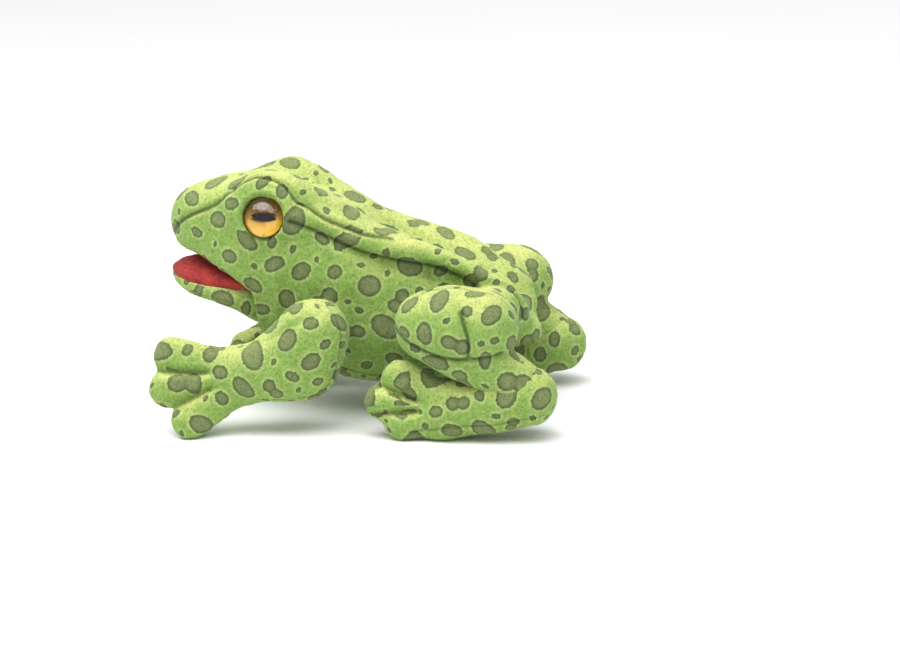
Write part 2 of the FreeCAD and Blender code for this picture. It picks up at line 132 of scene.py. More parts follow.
class Field:
    def __init__(self, low, high, h=GRID):
        self.h = h
        self.low = np.array(low, float)
        self.n = np.ceil((np.array(high) - self.low) / h).astype(int) + 1
        axes = [(self.low[i] + h * np.arange(self.n[i])).astype(np.float32) for i in range(3)]
        self.x, self.y, self.z = axes[0][:, None, None], axes[1][None, :, None], axes[2][None, None, :]
        self.d = np.full(self.n, 30.0, np.float32)

    def window(self, low, high):
        a = np.clip(np.floor((np.array(low) - self.low) / self.h).astype(int), 0, self.n)
        b = np.clip(np.ceil((np.array(high) - self.low) / self.h).astype(int) + 1, 0, self.n)
        part = tuple(slice(i, j) for i, j in zip(a, b))
        return part, self.x[part[0]], self.y[:, part[1]], self.z[:, :, part[2]]

    def add(self, other, k):
        self.d = smin(self.d, other, k)

    def cut(self, other, k):
        self.d = smax(self.d, -other, k)

    def chain(self, points, radii, k, parts=3):
        """Joins a round sausage along the points, with a radius at each point."""
        p = curve(np.column_stack([np.array(points, float), np.broadcast_to(radii, len(points))]), parts)
        reach = p[:, 3].max() + k + 1
        whole, *_ = self.window(p[:, :3].min(0) - reach, p[:, :3].max(0) + reach)
        best = np.full(self.n, 30.0, np.float32)
        for a, b in zip(p, p[1:]):
            part, x, y, z = self.window(np.minimum(a, b)[:3] - reach, np.maximum(a, b)[:3] + reach)
            t, r = line_distance(x, y, z, a[:3], b[:3])
            best[part] = np.minimum(best[part], r - (a[3] + (b[3] - a[3]) * t))
        self.d[whole] = smin(self.d[whole], best[whole], k)

    def stroke(self, points, depth, width, parts=4):
        """Presses a soft groove along the points, or raises a welt if the depth is negative."""
        p = curve(self.onto(np.array(points, float)), parts)
        p = self.onto(p)
        depth = np.interp(np.linspace(0, 1, len(p)), np.linspace(0, 1, np.size(depth)), np.atleast_1d(depth))
        reach = 2.6 * width
        press = np.zeros(self.n, np.float32)
        for a, b, da, db in zip(p, p[1:], depth, depth[1:]):
            part, x, y, z = self.window(np.minimum(a, b) - reach, np.maximum(a, b) + reach)
            t, r = line_distance(x, y, z, a, b)
            value = (da + (db - da) * t) * np.exp(-(r / width) ** 2)
            press[part] = np.where(np.abs(value) > np.abs(press[part]), value, press[part])
        self.d += press

    def sample(self, p):
        q = (p - self.low) / self.h
        i = np.clip(np.floor(q).astype(int), 0, self.n - 2)
        f = np.clip(q - i, 0, 1)
        total = 0
        for cx in (0, 1):
            for cy in (0, 1):
                for cz in (0, 1):
                    weight = (abs(1 - cx - f[:, 0]) * abs(1 - cy - f[:, 1]) * abs(1 - cz - f[:, 2]))
                    total = total + weight * self.d[i[:, 0] + cx, i[:, 1] + cy, i[:, 2] + cz]
        return total

    def slope(self, p):
        step = np.eye(3) * self.h
        return np.stack([(self.sample(p + s) - self.sample(p - s)) / (2 * self.h) for s in step], 1)

    def onto(self, p, turns=8):
        """The points moved onto the surface."""
        p = p.copy()
        for _ in range(turns):
            g = self.slope(p)
            move = self.sample(p)[:, None] * g / np.maximum((g * g).sum(1), 0.2)[:, None]
            p -= np.clip(move, -2, 2)
        return p

    def even(self, f):
        """A rough implicit as a distance near its surface."""
        gx, gy, gz = np.gradient(f, self.h)
        size = np.sqrt(gx * gx + gy * gy + gz * gz)
        return np.clip(f / np.maximum(size, 0.01), -25, 25).astype(np.float32)

    def loft(self, sections, top, low):
        """The body through (y, middle height, half height, half width) sections."""
        s = np.array(sections, float)
        fine = np.arange(self.y.min() - 8, self.y.max() + 8, 0.25)
        bell = np.exp(-(np.arange(-24, 25) / 8.0) ** 2 / 2)
        bell /= bell.sum()

        def table(values):
            inside = np.interp(fine, s[:, 0], values)
            first = values[0] + (values[1] - values[0]) / (s[1, 0] - s[0, 0]) * (fine - s[0, 0])
            last = values[-1] + (values[-1] - values[-2]) / (s[-1, 0] - s[-2, 0]) * (fine - s[-1, 0])
            line = np.where(fine < s[0, 0], first, np.where(fine > s[-1, 0], last, inside))
            soft = np.convolve(np.pad(line, 24, "edge"), bell, "valid")
            return np.interp(self.y, fine, soft).astype(np.float32)

        mid = table(s[:, 1])
        high = np.sqrt(np.maximum(table(s[:, 2] ** 2), 0.04))
        wide = np.sqrt(np.maximum(table(s[:, 3] ** 2), 0.04))
        up = (self.z - mid) / high
        out = np.abs(self.x) / wide
        power = np.where(up > 0, np.float32(top), np.float32(low))
        f = (out ** power + np.abs(up) ** power) ** (1 / power) - 1
        solid = fine[(np.interp(fine, self.y.ravel(), high.ravel()) > 0.35) & (fine > s[0, 0] - 6) & (fine < s[-1, 0] + 6)]
        # a steep taper makes far points look near, so the distance from each slice's box keeps them off
        box = np.maximum(np.abs(self.x) - wide, np.abs(self.z - mid) - high)
        d = np.maximum(self.even(f), 0.6 * box - 3)
        # past each end the last slice goes on, further off by the distance gone
        y = self.y.ravel()
        ends = np.flatnonzero((y >= solid.min()) & (y <= solid.max()))[[0, -1]]
        held = d[:, np.clip(np.arange(len(y)), *ends)]
        beyond = np.abs(self.y - np.clip(self.y, *y[ends]))
        return np.where(beyond > 0, np.maximum(held, 0) + beyond, held).astype(np.float32)

    def pillow(self, root, tips, r_root, r_tip, edge, thick, lean=None):
        """A flat stuffed paddle: toes from the root to each tip, joined by webs and quilted between."""
        tips = [np.array(t, float) for t in tips]
        e1 = tips[1] - root
        e1 /= np.linalg.norm(e1)
        normal = np.cross(tips[0] - root, tips[2] - root)
        normal /= np.linalg.norm(normal)
        e2 = np.cross(normal, e1)
        dx, dy, dz = self.x - root[0], self.y - root[1], self.z - root[2]
        u = dx * e1[0] + dy * e1[1] + dz * e1[2]
        v = dx * e2[0] + dy * e2[1] + dz * e2[2]
        w = dx * normal[0] + dy * normal[1] + dz * normal[2]
        flat = [((t - root) @ e1, (t - root) @ e2) for t in tips]
        outline = None
        for tu, tv in flat:
            t = np.clip((u * tu + v * tv) / (tu * tu + tv * tv), 0, 1)
            d = np.sqrt((u - t * tu) ** 2 + (v - t * tv) ** 2) - (r_root + (r_tip - r_root) * t)
            outline = d if outline is None else smin(outline, d, 3.5)
        depth = thick * (1 - 0.12 * np.clip(u / 20, 0, 1))
        for (au, av), (bu, bv) in zip(flat, flat[1:]):
            mu, mv = (au + bu) / 2, (av + bv) / 2
            t = (u * mu + v * mv) / (mu * mu + mv * mv)
            off = np.abs(u * mv - v * mu) / math.hypot(mu, mv)
            along = 1 / (1 + np.exp(-(t - 0.42) * 22))
            depth = depth * (1 - 0.62 * along * np.exp(-(off / 1.25) ** 2))
        g = np.maximum(1 + outline / edge, 0)
        return self.even((np.sqrt(g * g + (w / depth) ** 2) - 1).astype(np.float32))

    def mesh(self):
        grid = openvdb.FloatGrid(3.0)
        # four empty cells all round keep the mesher from closing the skin along the window's walls
        grid.copyFromArray(np.clip(np.pad(self.d, 4, constant_values=3), -3, 3).astype(np.float32))
        points, quads = grid.convertToQuads(isovalue=0.0)
        return (points - 4) * self.h + self.low, quads


# ---------------------------------------------------------------- meshes
def lattice_noise(p, cell, seed):
    """Smooth noise from -1 to 1 with features of one cell."""
    table = np.random.default_rng(seed).uniform(-1, 1, (32, 32, 32)).astype(np.float32)
    q = p / cell
    i = np.floor(q).astype(int)
    f = q - i
    f = f * f * (3 - 2 * f)
    total = 0
    for cx in (0, 1):
        for cy in (0, 1):
            for cz in (0, 1):
                weight = (abs(1 - cx - f[:, 0]) * abs(1 - cy - f[:, 1]) * abs(1 - cz - f[:, 2]))
                total = total + weight * table[(i[:, 0] + cx) % 32, (i[:, 1] + cy) % 32, (i[:, 2] + cz) % 32]
    return total


def normals_of(points, quads):
    a, b, c, d = (points[quads[:, i]] for i in range(4))
    face = np.cross(c - a, d - b)
    total = np.zeros_like(points)
    for i in range(4):
        np.add.at(total, quads[:, i], face)
    return total / np.maximum(np.linalg.norm(total, axis=1), 1e-9)[:, None]


def largest_part(points, quads):
    """Drops loose crumbs: keeps the biggest connected shell."""
    label = np.arange(len(points))
    while True:
        low = label[quads].min(1)
        new = label.copy()
        for i in range(4):
            np.minimum.at(new, quads[:, i], low)
        new = new[new]
        if (new == label).all():
            break
        label = new
    names, counts = np.unique(label[quads[:, 0]], return_counts=True)
    keep = label[quads[:, 0]] == names[counts.argmax()]
    quads = quads[keep]
    used, flat = np.unique(quads, return_inverse=True)
    return points[used], flat.reshape(-1, 4)


def object_of(name, points, quads, material, attributes=()):
    mesh = bpy.data.meshes.new(name)
    mesh.vertices.add(len(points))
    mesh.vertices.foreach_set("co", (points * MM).astype(np.float32).ravel())
    mesh.loops.add(quads.size)
    mesh.loops.foreach_set("vertex_index", quads.astype(np.int32).ravel())
    mesh.polygons.add(len(quads))
    mesh.polygons.foreach_set("loop_start", np.arange(0, quads.size, 4, dtype=np.int32))
    mesh.update(calc_edges=True)
    mesh.polygons.foreach_set("use_smooth", np.ones(len(quads), bool))
    rest = mesh.attributes.new("rest", "FLOAT_VECTOR", "POINT")
    rest.data.foreach_set("vector", points.astype(np.float32).ravel())
    for key, values in dict(attributes).items():
        mesh.attributes.new(key, "FLOAT", "POINT").data.foreach_set("value", values.astype(np.float32))
    mesh.materials.append(material)
    mesh.validate()
    thing = bpy.data.objects.new(name, mesh)
    bpy.context.scene.collection.objects.link(thing)
    return thing


# ---------------------------------------------------------------- printed spots


SPOT_TRIES = 3600       # places tried on each skin for a spot
SPOT_SHRINK = 2000      # tries over which the spots go from the largest to the smallest


def spot_field(points, normals, seed, sizes=(1.3, 4.4)):
    """Distance in mm to the edge of the nearest printed spot, negative inside."""
    field = np.full(len(points), 6.0)
    random = np.random.default_rng(seed)
    placed = np.zeros((0, 4))
    for turn, pick in enumerate(random.integers(len(points), size=SPOT_TRIES)):
        size = sizes[1] + (sizes[0] - sizes[1]) * min(1, turn / SPOT_SHRINK) ** 0.6
        size *= random.uniform(0.8, 1.15)
        centre = points[pick]
        if field[pick] < size + 1.3:
            continue
        if (np.linalg.norm(placed[:, :3] - centre, axis=1) < placed[:, 3] + size + 1.5).any():
            continue
        placed = np.vstack([placed, [*centre, size * 1.12]])
        n = normals[pick]
        side = np.cross(n, random.normal(size=3))
        side /= np.linalg.norm(side)
        over = np.cross(n, side)
        near = np.linalg.norm(points - centre, axis=1) < 3 * size + 2
        near &= normals @ n > 0.1
        away = points[near] - centre
        wide = size * random.uniform(1.0, 1.25)
        tall = size * random.uniform(0.72, 0.95)
        lobes = [(0.0, 0.0, wide, tall)]
        if size > 2.4 and random.uniform() < 0.35:
            lobes = [(-0.55 * size, 0.1 * size, 0.72 * size, 0.66 * size),
                     (0.5 * size, -0.2 * size, 0.66 * size, 0.74 * size)]
        for cu, cv, a, b in lobes:
            u, v = (away @ side - cu) / a, (away @ over - cv) / b
            r = np.sqrt(u * u + v * v)
            edge = (r - 1) * r / np.maximum(np.sqrt((u / a) ** 2 + (v / b) ** 2), 1e-3)
            field[near] = smin(field[near], edge, 0.9)
    return np.clip(field, -4, 4)


# ---------------------------------------------------------------- materials
def new_material(name):
    material = bpy.data.materials.new(name)
    material.use_nodes = True
    tree = material.node_tree
    return material, tree, tree.nodes["Principled BSDF"]


class Tree:
    """Short names for making nodes."""
    def __init__(self, tree):
        self.tree = tree

    def node(self, kind, **settings):
        made = self.tree.nodes.new("ShaderNode" + kind)
        for key, value in settings.items():
            setattr(made, key, value)
        return made

    def link(self, a, b):
        self.tree.links.new(a, b)

    def put(self, socket, value):
        if hasattr(value, "links"):
            self.link(value, socket)
        else:
            socket.default_value = value

    def attribute(self, name, output):
        return self.node("Attribute", attribute_name=name).outputs[output]

    def noise(self, vector, scale, detail=2.0, rough=0.5, distort=0.0):
        made = self.node("TexNoise")
        self.link(vector, made.inputs["Vector"])
        made.inputs["Scale"].default_value = scale
        made.inputs["Detail"].default_value = detail
        made.inputs["Roughness"].default_value = rough
        made.inputs["Distortion"].default_value = distort
        return made.outputs["Fac"]

    def math(self, operation, a, b=0.0, c=0.0):
        made = self.node("Math", operation=operation)
        for socket, value in zip(made.inputs, (a, b, c)):
            self.put(socket, value)
        return made.outputs[0]

    def ramp(self, value, low, high, to_low=0.0, to_high=1.0):
        made = self.node("MapRange", interpolation_type="SMOOTHSTEP")
        for key, v in (("Value", value), ("From Min", low), ("From Max", high),
                       ("To Min", to_low), ("To Max", to_high)):
            self.put(made.inputs[key], v)
        return made.outputs[0]

    def mix(self, factor, a, b, blend="MIX"):
        made = self.node("Mix", data_type="RGBA", blend_type=blend)
        self.put(made.inputs["Factor"], factor)
        for socket, value in ((made.inputs[6], a), (made.inputs[7], b)):
            self.put(socket, value if hasattr(value, "links") else (*value, 1.0))
        return made.outputs[2]

    def bump(self, height, strength, distance, before=None):
        made = self.node("Bump")
        made.inputs["Strength"].default_value = strength
        made.inputs["Distance"].default_value = distance
        self.link(height, made.inputs["Height"])
        if before is not None:
            self.link(before, made.inputs["Normal"])
        return made.outputs["Normal"]


def set_inputs(shader, **values):
    for key, value in values.items():
        shader.inputs[key.replace("_", " ")].default_value = value


def plush(name, base, top, rim, inside, halo, sheen_tint):
    """Short crinkled plush with a printed spot pattern, painted lighter where it faces up and darker in its grooves,
    as painted light and shade.
    """
    material, tree, shader = new_material(name)
    t = Tree(tree)
    rest = t.attribute("rest", "Vector")
    spot = t.attribute("spot", "Fac")
    light = t.attribute("top", "Fac")
    groove_shade = t.attribute("groove_shade", "Fac")
    broad = t.noise(rest, 0.05, 3)
    curl = t.noise(rest, 1.15, 4, 0.62, 0.6)
    fine = t.noise(rest, 3.2, 3, 0.6)
    ragged = t.math("MULTIPLY_ADD", curl, 0.9, -0.45)
    edge = t.math("ADD", spot, ragged)
    # painted light: the ground goes from base to the lighter, yellower top colour the more the cloth faces up at rest,
    # with a broad random tone mixed in
    lit = t.math("ADD", t.math("MULTIPLY", light, 0.85), t.math("MULTIPLY_ADD", broad, 0.9, -0.45))
    ground = t.mix(t.ramp(lit, 0.15, 1.0), base, top)
    ground = t.mix(t.math("MULTIPLY", t.ramp(edge, 1.3, 0.2), 0.5), ground, halo)
    printed = t.mix(t.ramp(edge, -0.2, -1.6), rim, inside)
    # painted light: the spots, too, are lighter where the cloth faces up
    printed = t.mix(t.math("MULTIPLY", t.ramp(lit, 0.3, 1.1), 0.55), printed, [0.7 * i + 0.3 * h for i, h in zip(inside, top)])
    colour = t.mix(t.ramp(edge, 0.12, -0.18), ground, printed)
    speck = t.math("MULTIPLY_ADD", t.ramp(curl, 0.3, 0.62), 0.46, 0.68)
    speck = t.math("MULTIPLY", speck, t.math("MULTIPLY_ADD", fine, 0.5, 0.78))
    # painted shade: the colour is darkened down to 30 % along the grooves and pressed seams
    speck = t.math("MULTIPLY", speck, t.ramp(groove_shade, 0.0, 1.0, 1.0, 0.30))
    grey = t.node("CombineColor")
    for i in range(3):
        t.link(speck, grey.inputs[i])
    colour = t.mix(1.0, colour, grey.outputs[0], "MULTIPLY")
    t.link(colour, shader.inputs["Base Color"])
    normal = t.bump(curl, 0.55, 0.00035)
    normal = t.bump(fine, 0.35, 0.00012, normal)
    t.link(normal, shader.inputs["Normal"])
    set_inputs(shader, Roughness=0.95, Sheen_Weight=0.25, Sheen_Roughness=0.45, Sheen_Tint=(*sheen_tint, 1.0),
               Specular_IOR_Level=0.2)
    return material


def lining(name, dark, light, sheen_tint, scale=1.6):
    """Plain short velour, as in the mouth and the sleeve."""
    material, tree, shader = new_material(name)
    t = Tree(tree)
    rest = t.attribute("rest", "Vector")
    fine = t.noise(rest, scale, 4, 0.6, 0.3)
    broad = t.noise(rest, 0.12, 2)
    both = t.math("ADD", t.math("MULTIPLY", fine, 0.7), t.math("MULTIPLY", broad, 0.5))
    colour = t.mix(t.ramp(both, 0.4, 0.8), dark, light)
    t.link(colour, shader.inputs["Base Color"])
    t.link(t.bump(fine, 0.5, 0.0003), shader.inputs["Normal"])
    set_inputs(shader, Roughness=0.95, Sheen_Weight=0.3, Sheen_Roughness=0.4, Sheen_Tint=(*sheen_tint, 1.0),
               Specular_IOR_Level=0.2)
    return material


def local(t, axis_vector, centre):
    """Distance in metres along an axis from a centre, in the frame's own coordinates."""
    place = t.node("TexCoord").outputs["Object"]
    away = t.node("VectorMath", operation="SUBTRACT")
    t.link(place, away.inputs[0])
    away.inputs[1].default_value = centre
    dot = t.node("VectorMath", operation="DOT_PRODUCT")
    t.link(away.outputs[0], dot.inputs[0])
    dot.inputs[1].default_value = axis_vector
    return dot.outputs["Value"], away.outputs[0]


GREEN = (0.200, 0.320, 0.072)
# the lighter, yellower green painted on cloth that faces up, as painted light
LIT_TOP_GREEN = (0.500, 0.535, 0.175)
SPOT_RIM = (0.078, 0.112, 0.040)
SPOT_INSIDE = (0.158, 0.192, 0.076)
HALO = (0.380, 0.460, 0.165)
PLUSH = plush("plush_spotted", GREEN, LIT_TOP_GREEN, SPOT_RIM, SPOT_INSIDE, HALO, (0.75, 1.0, 0.55))
RED = lining("mouth_red", (0.170, 0.018, 0.016), (0.440, 0.050, 0.042), (1.0, 0.55, 0.5))
SLEEVE = lining("sleeve_green", (0.060, 0.150, 0.030), (0.130, 0.290, 0.060), (0.7, 1.0, 0.6))


# ---------------------------------------------------------------- skins
def finish_skin(name, field, nodes, shaded_grooves=(), seams=(), seed=1,
                lumps=0.45, material=None, where=None):
    points, quads = largest_part(*field.mesh())
    normals = normals_of(points, quads)
    # painted shade: dark is how much the colour is darkened along the listed grooves (creases, gussets, eye rings) and
    # along pressed-in seams
    dark = np.zeros(len(points))
    for line, width in shaded_grooves:
        dark = np.maximum(dark, np.exp(-(nearest(points, field, line) / width) ** 2))
    for line, depth, width in seams:
        close = np.exp(-(nearest(points, field, line) / width) ** 2)
        points = points - normals * (depth * close)[:, None]
        dark = np.maximum(dark, 0.6 * close * (depth > 0))
    raise_by = lumps * lattice_noise(points, 7.0, seed) + 0.16 * lattice_noise(points, 1.5, seed + 1)
    raise_by += 0.06 * lattice_noise(points, 0.8, seed + 2)
    points = points + normals * raise_by[:, None]
    points[:, 2] = np.maximum(points[:, 2], 0.05)
    # painted light and shade: "top" is how much the cloth faces up at rest, painted lighter there; the grooves' value
    # is painted shade
    attributes = {"top": np.clip(normals[:, 2], -0.4, 1), "groove_shade": dark}
    if material is None:
        attributes["spot"] = spot_field(points, normals, seed)
    thing = object_of(name, points, quads, material or PLUSH, attributes)
    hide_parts(*nodes)
    return thing


def nearest(points, field, line):
    """Distance of each point from a line laid on the surface."""
    p = curve(field.onto(np.array(line, float)), 4)
    best = np.full(len(points), 99.0)
    near = ((points > p.min(0) - 6) & (points < p.max(0) + 6)).all(1)
    x, y, z = points[near].T
    for a, b in zip(p, p[1:]):
        best[near] = np.minimum(best[near], line_distance(x, y, z, a, b)[1])
    return best


TRUNK = [(-27, 33, 10, 11), (-20, 40, 25.5, 17.5), (-9, 39, 28.5, 20.3), (3, 35.6, 26, 21), (15, 33.3, 23.3, 21),
         (30, 31.5, 19.5, 19.5), (43, 29.5, 12.8, 15.5), (52, 27.8, 7.6, 10), (57, 27, 3, 4)]
HEAD = [(-68.3, 65, 4.6, 3.6), (-65, 64, 10.4, 8.2), (-56, 61.5, 16.8, 14), (-46, 58.5, 22.2, 18.2),
        (-37, 57, 24.6, 20.2), (-29, 56, 24.4, 21), (-20, 53, 17, 17)]
NECK = PIVOT["head_nod"]
NECK_R, NECK_WIDE, NECK_ROUND = 25.5, 19.5, 10.5
CREST = [(11.0, -38, 73.0), (12.0, -31, 76.6), (12.2, -25, 76.4), (11.5, -18, 73.4), (10.2, -9, 67.8), (9.6, 1, 62.4), (9.4, 12, 57.4), (9.0, 23, 53.0),
         (8.4, 33, 47.8), (7.2, 42, 42.0), (5.6, 49.5, 34.5)]
ROLL = [(18.2, -22, 70.2), (17.0, -13, 67.0), (15.6, -2, 62.2), (14.8, 10, 58.3), (14.4, 22, 55.6), (13.4, 31, 52.4),
        (11.8, 39, 47.8), (9.4, 47, 41.6), (7.8, 51.5, 36.0)]
CREASE = [(22.0, -21, 68.6), (21.0, -14, 65.6), (19.6, -6, 61.6), (18.6, 3, 57.4), (18.2, 13, 54.6), (17.6, 23, 53.0),
          (16.6, 31, 50.3), (14.8, 39, 46.0), (12.0, 48.5, 40.6), (10.0, 52, 35.6)]
UPPER_FOLD = [(15.6, -39.6, 76.0), (16.6, -35.1, 81.3), (17.4, -30.3, 82.4), (17.6, -26.5, 80.9), (17.6, -23.3, 78.5),
              (17.6, -20.7, 74.2), (17.8, -17, 71.0), (17.6, -12, 67.6), (16.8, -5, 64.2), (16.4, 3, 61.4),
              (15.8, 11, 60.0)]
GUSSET = [(3.6, -66.4, 61.4), (5.0, -64.3, 63.2), (8.0, -59.5, 66.5), (11.0, -52.5, 69.3), (14.0, -44.6, 72.7),
          (15.2, -41.1, 74.6), (15.8, -39.0, 76.4)]
ROOF_LINE = [(-80, 59.0), (-65.4, 57.3), (-61.3, 56.2), (-56.7, 55.1), (-49.3, 52.1), (-42.4, 48.4), (-36.7, 44.2), (-30, 39)]
UPPER_LIP = [(0.0, -67.6, 57.8), (4.0, -66.0, 57.4), (7.2, -61.3, 56.3), (10.4, -56.7, 55.3), (14.4, -49.3, 52.3),
             (17.2, -42.4, 48.6), (18.6, -37.2, 44.9)]
MOUTH = np.array(frame["record"]["mounts"][0]["pos_m"]) / MM
OUTWARD = np.array(frame["record"]["mounts"][0]["axis"], float)
SLEEVE_R = 9.5
EYE_LOW, EYE_HIGH = node_box("left_eye_iris")
EYE_OUT = V(math.cos(math.radians(16)), 0, math.sin(math.radians(16)))
EYE = (EYE_LOW + EYE_HIGH) / 2


def along_sleeve(field):
    """Distance out of the sleeve's mouth, and from the sleeve's middle line."""
    dx, dy, dz = field.x - MOUTH[0], field.y - MOUTH[1], field.z - MOUTH[2]
    out = dy * OUTWARD[1] + dz * OUTWARD[2]
    return out, np.sqrt(dx ** 2 + (dy - out * OUTWARD[1]) ** 2 + (dz - out * OUTWARD[2]) ** 2)


def mouth_space(field):
    """Positive in the open mouth, in front of its corner and under the roof."""
    ys, zs = zip(*ROOF_LINE)
    roof = np.interp(field.y, ys, zs).astype(np.float32)
    return np.minimum((roof - field.z) * 0.88, -36.6 - field.y)


def make_body():
    """Head and trunk, one sewn skin from the snout to the rump."""
    f = Field((-28, -73, 8), (28, 62, 89))
    f.d = f.loft(TRUNK, 2.8, 2.1)
    around = np.sqrt((f.y - NECK[1]) ** 2 + (f.z - NECK[2]) ** 2) - (NECK_R - NECK_ROUND)
    across = np.abs(f.x) - (NECK_WIDE - NECK_ROUND)
    neck = np.sqrt(np.maximum(around, 0) ** 2 + np.maximum(across, 0) ** 2) + np.minimum(np.maximum(around, across), 0)
    f.add((neck - NECK_ROUND).astype(np.float32), 9)
    f.add(f.loft(HEAD, 2.5, 2.1), 6)
    for side in (lambda p: p, mirror):
        f.chain(side([(12.2, -36.5, 71.0), (12.6, -31, 72.3), (12.8, -26.5, 71.5)]), [10.2, 11.4, 10.2], 5)
        f.chain(side(CREST), [4.0, 5.0, 5.2, 5.2, 5.2, 5.0, 5.0, 5.0, 4.8, 4.6, 4.0], 5)
        f.chain(side(ROLL), [4.0, 4.6, 4.8, 4.8, 4.4, 4.2, 4.0, 3.6, 3.0], 3)
        for joint, r in (("left_shoulder_swing", 6.5), ("left_hip_swing", 8.0)):
            at = PIVOT[joint]
            f.chain(side([(13, at[1], at[2]), (22.8, at[1], at[2])]), [r + 2, r], 4)
    f.cut(-mouth_space(f), 2.2)
    for side in (lambda p: p, mirror):
        f.stroke(side(CREASE), [1.6, 2.8, 3.2, 3.2, 3.0, 3.0, 2.6, 2.2, 1.6], 1.5)
        f.stroke(side(UPPER_FOLD), [0.8, 1.4, 1.5, 1.5, 1.7, 1.8, 1.7, 1.4, 1.2, 0.7, 0.0], 1.05)
        f.stroke(side(GUSSET), [0.4, 0.8, 0.9, 0.9, 0.8], 0.8)
        f.stroke(side([(17.5, -37.0, 42.5), (17.0, -35.2, 38.5), (15.0, -34.2, 34.0), (11.0, -34.5, 29.5)]),
                 [1.0, 1.4, 1.2, 0.2], 1.2)
        eye, out = side(EYE), side(EYE_OUT)
        dx, dy, dz = f.x - eye[0], f.y - eye[1], f.z - eye[2]
        s = dx * out[0] + dy * out[1] + dz * out[2]
        r = np.sqrt(np.maximum(dx ** 2 + dy ** 2 + dz ** 2 - s ** 2, 0))
        dish = np.sqrt(r ** 2 + (s - 31.5) ** 2) - 30
        f.cut(dish, 2.4)
        f.d -= (0.7 * np.exp(-((r - 8.3) / 1.0) ** 2 - ((s - 2.2) / 3.0) ** 2)).astype(np.float32)
        f.cut(np.maximum(r - 6.95, -s - 0.2), 0.8)
    f.stroke([(0, -66.0, 57.6), (0, -68.6, 60)], 0.0, 1.0)
    out, away = along_sleeve(f)
    f.cut(np.maximum(away - (SLEEVE_R + 0.75), -out - 37 - np.sqrt(np.maximum(100 - away ** 2, 0))), 0.6)
    f.cut(np.maximum(away - (SLEEVE_R + 2.9), -out - 2.8), 0.8)
    # painted shade: the cloth is painted darker along the creases, upper folds, gussets and the gap round each eye
    lines = [(line, width) for both in (CREASE, UPPER_FOLD, GUSSET) for line, width in ((both, 0.9), (mirror(both), 0.9))]
    ring = [EYE + 7.1 * (math.cos(a) * V(0, 1, 0) + math.sin(a) * np.cross(EYE_OUT, V(0, 1, 0)))
            for a in np.linspace(0, 2 * math.pi, 25)]
    lines += [(ring, 0.8), (mirror(ring), 0.8)]
    lip = [p for p in UPPER_LIP]
    belly = [(12, -18, 22), (12.5, -5, 16), (12.5, 10, 14), (12, 25, 15), (10.5, 38, 19)]
    seams = [(lip, -0.35, 0.7), (mirror(lip), -0.35, 0.7), (belly, 0.5, 0.7), (mirror(belly), 0.5, 0.7)]
    nodes = [n for n in NODES if frame_body(n) in ("trunk", "head") and not n.startswith(("finger_sleeve", "sleeve_hem"))
             and "_eye_" not in n and n != "mouth_roof"]
    body = finish_skin("body_skin", f, nodes, shaded_grooves=lines, seams=seams, seed=11, lumps=0.35)
    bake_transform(body)
    return f


def frame_body(node):
    for body, members in frame["record"]["behaviour"]["bodies"].items():
        if node in members:
            return body


def make_mouth():
    """The red roof of the mouth, the green chin and the red padded floor."""
    f = Field((-22, -72, 26), (22, -30, 64), GRID * 0.9)
    shell = np.abs(mouth_space(f) + 0.5) - 0.95
    f.d = np.maximum(smax(f.loft(HEAD, 2.5, 2.1) + 1.5, shell, 0.6), 33.0 - f.z)
    roof = finish_skin("mouth_roof_lining", f, ["mouth_roof"], seed=31, lumps=0.1, material=RED)
    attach(roof, "head")

    chin = [(-68.6, 45.6, 1.6, 3.8), (-65, 44.6, 3.2, 9.0), (-60, 43.1, 4.0, 12.4), (-52, 41.9, 4.6, 15.4), (-46, 40.6, 5.4, 16.6),
            (-42, 39.4, 6.6, 17.3), (-38, 37.6, 7.8, 17.2), (-34, 37.0, 8.0, 15.0)]
    edge_y = [-70, -67, -61.3, -54, -48, -40.6, -30]
    edge_z = [48.3, 47.5, 46.4, 45.6, 45.2, 45.3, 44.5]
    f = Field((-22, -73, 22), (22, -26, 58), GRID * 0.9)
    edge = np.interp(f.y, edge_y, edge_z).astype(np.float32)
    f.d = smax(f.loft(chin, 2.4, 2.1), f.z - edge, 1.6)
    rim = [(0.0, -69.2, 47.6), (3.6, -68.0, 47.3), (8.6, -64.2, 46.6), (12.6, -58.2, 45.8), (15.2, -50, 45.2), (16.6, -43, 45.0)]
    for side in (lambda p: p, mirror):
        f.stroke(side(rim), -0.45, 0.8)
        f.stroke(side([(3, -69, 44.5), (9.5, -62, 42.2), (14.2, -52, 39.8), (16.6, -43, 37.5)]), 0.5, 0.7)
    chin_skin = finish_skin("chin_skin", f, ["chin_panel", "jaw_stuffing"], seed=41, lumps=0.25)
    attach(chin_skin, "jaw")

    f = Field((-20, -74, 36), (20, -30, 58), GRID * 0.9)
    edge = np.interp(f.y, edge_y, edge_z).astype(np.float32)
    half = [(-69.2, 1.5, 3.0), (-66, 3.9, 8.2), (-61, 5.8, 11.6), (-54, 6.2, 14.2), (-47, 5.0, 15.4), (-41, 3.4, 16.2), (-35, 2.0, 15.4)]
    pad = [(y, float(np.interp(y, edge_y, edge_z)) + 0.3, high, wide) for y, high, wide in half]
    f.d = smax(f.loft(pad, 2.1, 2.1), edge - 2.6 - f.z, 1.5)
    for side in (lambda p: p, mirror):
        f.stroke(side([(0.0, -66, 51.5), (0.2, -58, 53.0), (0.2, -48, 50.5), (0.2, -40, 48.5)]), 0.5, 1.6)
    floor = finish_skin("mouth_floor_pad", f, ["mouth_floor"], seed=51, lumps=0.25, material=RED)
    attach(floor, "jaw")
    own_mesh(floor)


